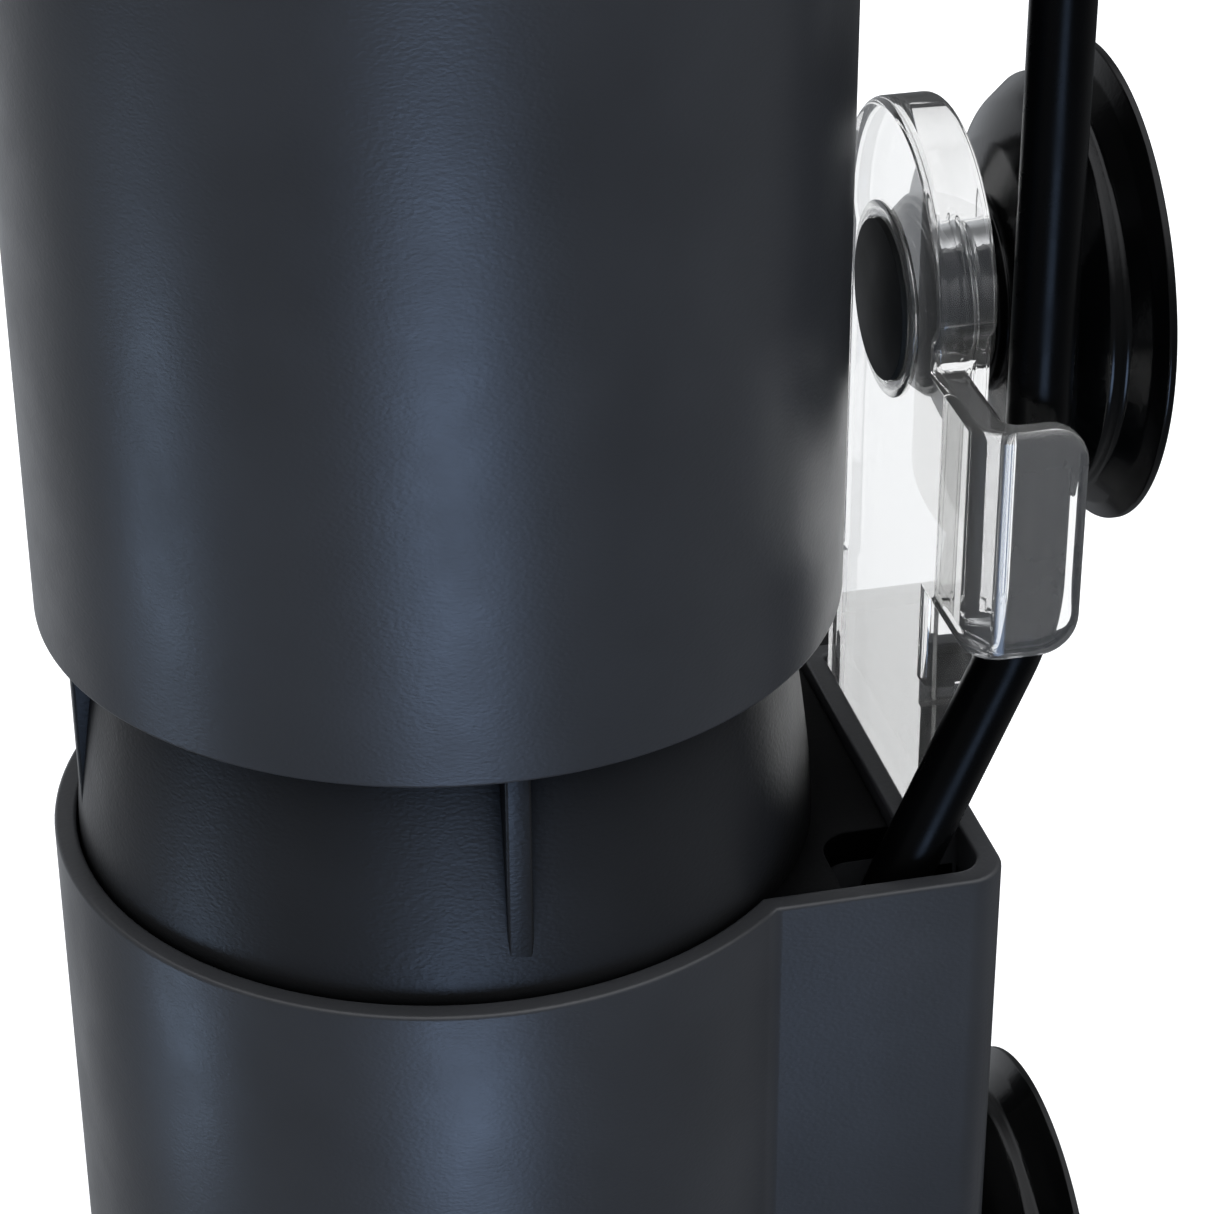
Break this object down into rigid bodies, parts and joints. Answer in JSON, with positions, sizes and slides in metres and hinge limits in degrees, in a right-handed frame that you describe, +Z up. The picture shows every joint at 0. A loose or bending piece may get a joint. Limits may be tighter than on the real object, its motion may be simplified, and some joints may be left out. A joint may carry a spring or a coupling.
{
  "type": "submersible sous vide circulator",
  "caption": "Slim water circulator with heater, sliding flow sleeve, turning outlet and control head, held to a vessel wall by suction cups.",
  "frame": {"origin": "on the body's axis in the plane of the feet", "axes": "+Z up along the body's axis, +Y towards the vessel wall that the suction cups hold, +X to the side with the motor lead"},
  "size_m": [0.072, 0.0983, 0.244],
  "materials": {
    "body_plastic": "fine moulded grain",
    "cone_plastic": "fine moulded grain",
    "cover_plastic": "satin",
    "tube_plastic": "satin",
    "dial_plastic": "satin",
    "button_metal": "anodised",
    "clear_plastic": "polished clear acrylic",
    "cup_rubber": "glossy",
    "foot_rubber": "matt",
    "stem_plastic": "satin",
    "lead_jacket": "satin jacket",
    "gland_rubber": "matt",
    "screw_steel": "stainless",
    "heater_steel": "stainless",
    "iron": "blackened",
    "magnet": "ferrite",
    "copper": "enamelled winding",
    "ceramic": "ceramic",
    "board": "solder mask",
    "components": "moulded",
    "impeller_plastic": "satin",
    "seal_plastic": "satin",
    "inlet_plastic": "satin",
    "screen": "dark display",
    "lens": "tinted"
  },
  "bodies": {
    "unit": {"base_cover": "cover_plastic", "foot_pads": "foot_rubber", "base_screws": "screw_steel", "ballast": "iron", "lower_housing": "body_plastic", "driver_board": "board", "board_parts": "components", "stator_core": "iron", "stator_windings": "copper", "rotor_can": "heater_steel", "shaft_bushes": "ceramic", "flow_cone": "cone_plastic", "flow_tube": "tube_plastic", "heater_coil": "heater_steel", "temp_probe": "heater_steel", "bulkhead": "seal_plastic", "head_housing": "body_plastic", "head_screws": "screw_steel", "control_board": "board", "power_supply": "components", "mains_inlet": "inlet_plastic", "inlet_pins": "screw_steel", "head_lid": "cover_plastic", "display_panel": "screen", "display_lens": "lens", "bracket_plate": "clear_plastic", "cup_upper": "cup_rubber", "cup_lower": "cup_rubber", "stem_collar": "clear_plastic", "stem_button": "stem_plastic", "stem_head": "stem_plastic", "motor_lead": "lead_jacket", "lead_gland": "gland_rubber", "head_gland": "gland_rubber"},
    "rotor": {"rotor_magnet": "magnet", "motor_shaft": "ceramic", "impeller": "impeller_plastic"},
    "sleeve": {"flow_sleeve": "body_plastic"},
    "collar": {"outlet_collar": "dial_plastic", "outlet_spout": "dial_plastic"},
    "dial": {"control_dial": "dial_plastic"},
    "power_key": {"power_button": "button_metal"},
    "timer_key": {"timer_button": "button_metal"}
  },
  "joints": [
    {"name": "rotor_spin", "type": "hinge", "parent": "unit", "child": "rotor", "pos_m": [0, 0, 0.08], "axis": [0, 0, 1], "continuous": true},
    {"name": "sleeve_slide", "type": "slide", "parent": "unit", "child": "sleeve", "axis": [0, 0, -1], "range_m": [0, 0.018]},
    {"name": "collar_turn", "type": "hinge", "parent": "unit", "child": "collar", "pos_m": [0, 0, 0.189], "axis": [0, 0, 1], "range_deg": [-120, 120]},
    {"name": "dial_turn", "type": "hinge", "parent": "unit", "child": "dial", "pos_m": [0, 0, 0.24], "axis": [0, 0, 1], "continuous": true},
    {"name": "power_press", "type": "slide", "parent": "unit", "child": "power_key", "axis": [0, 0, -1], "range_m": [0, 0.0015], "stiffness_N_per_m": 300, "springref_m": -0.001},
    {"name": "timer_press", "type": "slide", "parent": "unit", "child": "timer_key", "axis": [0, 0, -1], "range_m": [0, 0.0015], "stiffness_N_per_m": 300, "springref_m": -0.001}
  ]
}
